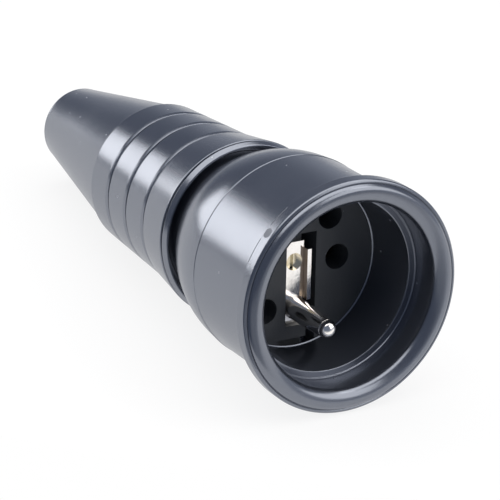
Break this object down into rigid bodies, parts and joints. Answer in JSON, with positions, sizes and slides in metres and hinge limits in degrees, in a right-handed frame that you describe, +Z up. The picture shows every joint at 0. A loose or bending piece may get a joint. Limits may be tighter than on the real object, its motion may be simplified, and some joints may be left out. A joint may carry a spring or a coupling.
{
  "type": "inline socket connector",
  "caption": "Black rubber inline socket: a beaded cup with round contact holes and a projecting earth pin, and a grooved grip sleeve that tapers to the cord's hole. No cord.",
  "frame": {"origin": "on the table under the middle of the socket as it lies on its lip and its rear grip band", "axes": "+Z up, +Y from the mouth towards the cord's hole, +X to the right as one looks into the mouth; the socket's own axis falls 6.01 degrees towards the cord"},
  "size_m": [0.05, 0.1252, 0.0501],
  "materials": {
    "shell_rubber": "satin",
    "insert_plastic": "satin",
    "nickel_plate": "bright",
    "contact_brass": "satin",
    "screw_steel": "satin"
  },
  "bodies": {
    "root": {"front_housing": "shell_rubber", "rear_sleeve": "shell_rubber", "socket_insert": "insert_plastic", "terminal_carrier": "insert_plastic", "clamp_bar": "insert_plastic", "earth_plate": "nickel_plate", "earth_pin": "nickel_plate", "earth_post": "contact_brass", "live_contact": "contact_brass", "neutral_contact": "contact_brass", "live_spring": "screw_steel", "neutral_spring": "screw_steel", "live_terminal_screw": "screw_steel", "neutral_terminal_screw": "screw_steel", "earth_terminal_screw": "screw_steel", "fixing_screw_upper": "screw_steel", "fixing_screw_lower": "screw_steel", "fixing_bush_upper": "contact_brass", "fixing_bush_lower": "contact_brass", "clamp_screw_left": "screw_steel", "clamp_screw_right": "screw_steel", "clamp_nut_left": "screw_steel", "clamp_nut_right": "screw_steel"}
  },
  "joints": []
}
